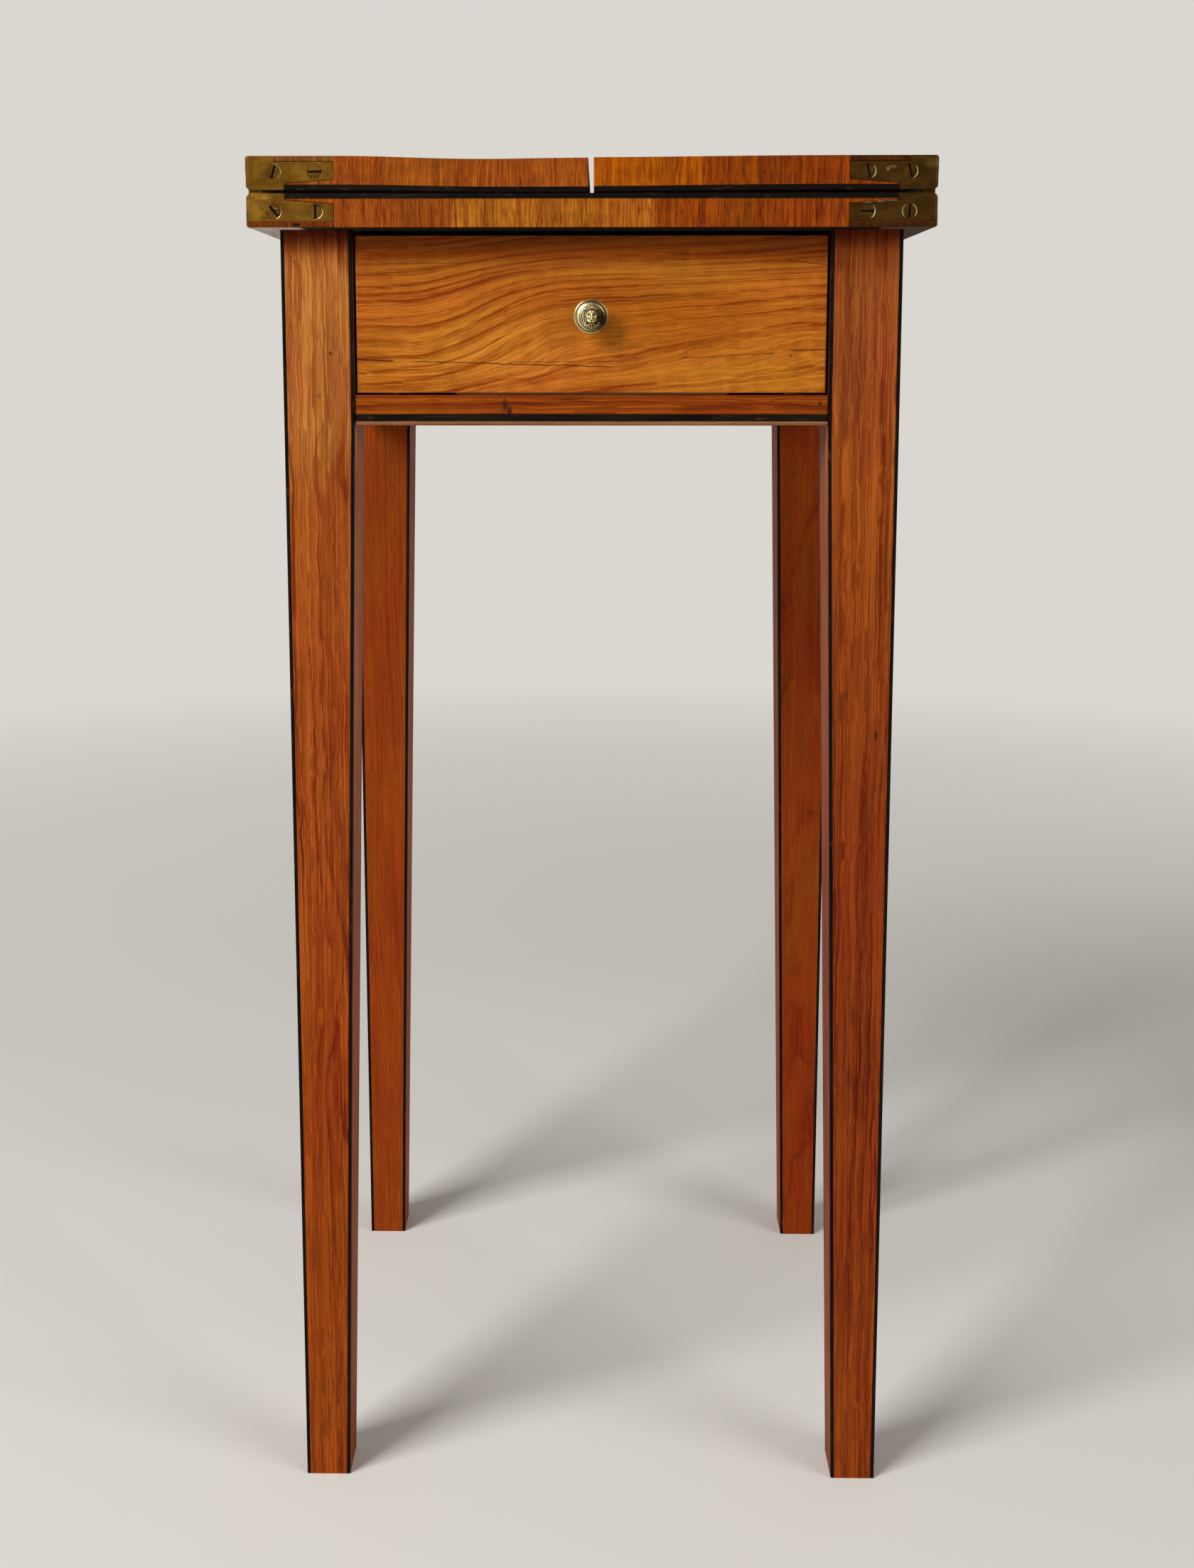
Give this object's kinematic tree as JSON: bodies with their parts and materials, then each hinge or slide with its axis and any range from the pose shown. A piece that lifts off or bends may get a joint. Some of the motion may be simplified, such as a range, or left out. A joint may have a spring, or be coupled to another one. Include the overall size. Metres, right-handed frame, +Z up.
{
  "type": "lamp table",
  "caption": "Tall fruitwood lamp table with square tapered legs, a single drawer and a divided fold-over top on brass link hinges.",
  "frame": {"origin": "on the floor under the middle of the top", "axes": "+X to the right of someone facing the drawer, +Y to the back, +Z up; the drawer front faces -Y"},
  "size_m": [0.36, 0.33, 0.75],
  "materials": {
    "top_wood": "french polished cherry",
    "frame_wood": "french polished cherry",
    "drawer_wood": "french polished figured cherry",
    "ebonised": "ebonised string, satin",
    "inner_wood": "bare oak",
    "brass": "aged brass",
    "brass_screws": "aged brass",
    "knob_brass": "gilt brass with dark hollows",
    "iron": "old iron"
  },
  "bodies": {
    "carcass": {"base_board": "top_wood", "base_board_string": "ebonised", "apron_strings": "ebonised", "rail_string": "ebonised", "leg_strings_front_left": "ebonised", "leg_strings_front_right": "ebonised", "leg_strings_back_left": "ebonised", "leg_strings_back_right": "ebonised", "base_plate_front_left": "brass", "base_plate_front_right": "brass", "base_plate_back_left": "brass", "base_plate_back_right": "brass", "base_pins": "brass", "base_plate_screws": "brass_screws", "leg_front_left": "frame_wood", "leg_front_right": "frame_wood", "leg_back_left": "frame_wood", "leg_back_right": "frame_wood", "apron_left": "frame_wood", "apron_right": "frame_wood", "apron_back": "frame_wood", "apron_strips": "frame_wood", "drawer_rail": "frame_wood", "rail_strip": "frame_wood", "runner_left": "inner_wood", "runner_right": "inner_wood", "guide_left": "inner_wood", "guide_right": "inner_wood", "glue_blocks": "inner_wood", "drawer_stops": "inner_wood", "top_screws": "iron"},
    "left_links": {"link_front_left": "brass", "link_back_left": "brass"},
    "left_leaf": {"leaf_left": "top_wood", "leaf_left_string": "ebonised", "leaf_pins_left": "brass", "leaf_screws_left": "brass_screws", "leaf_plate_front_left": "brass", "leaf_plate_back_left": "brass"},
    "right_links": {"link_front_right": "brass", "link_back_right": "brass"},
    "right_leaf": {"leaf_right": "top_wood", "leaf_right_string": "ebonised", "leaf_pins_right": "brass", "leaf_screws_right": "brass_screws", "leaf_plate_front_right": "brass", "leaf_plate_back_right": "brass"},
    "drawer": {"drawer_front": "drawer_wood", "drawer_side_left": "inner_wood", "drawer_side_right": "inner_wood", "drawer_back": "inner_wood", "drawer_bottom": "inner_wood", "drawer_bottom_nails": "iron", "knob": "knob_brass", "knob_bolt": "knob_brass", "knob_nut": "knob_brass"}
  },
  "joints": [
    {"name": "left_link_swing", "type": "hinge", "parent": "carcass", "child": "left_links", "pos_m": [-0.1748, 0, 0.7258], "axis": [0, -1, 0], "range_deg": [0, 90]},
    {"name": "left_leaf_fold", "type": "hinge", "parent": "left_links", "child": "left_leaf", "pos_m": [-0.1748, 0, 0.7377], "axis": [0, -1, 0], "range_deg": [0, 90]},
    {"name": "right_link_swing", "type": "hinge", "parent": "carcass", "child": "right_links", "pos_m": [0.1748, 0, 0.7258], "axis": [0, 1, 0], "range_deg": [0, 90]},
    {"name": "right_leaf_fold", "type": "hinge", "parent": "right_links", "child": "right_leaf", "pos_m": [0.1748, 0, 0.7377], "axis": [0, 1, 0], "range_deg": [0, 90]},
    {"name": "drawer_slide", "type": "slide", "parent": "carcass", "child": "drawer", "axis": [0, -1, 0], "range_m": [0, 0.2]}
  ],
  "couplings": [
    {"joint": "left_leaf_fold", "follows": "left_link_swing", "ratio": 1},
    {"joint": "right_leaf_fold", "follows": "right_link_swing", "ratio": 1}
  ]
}
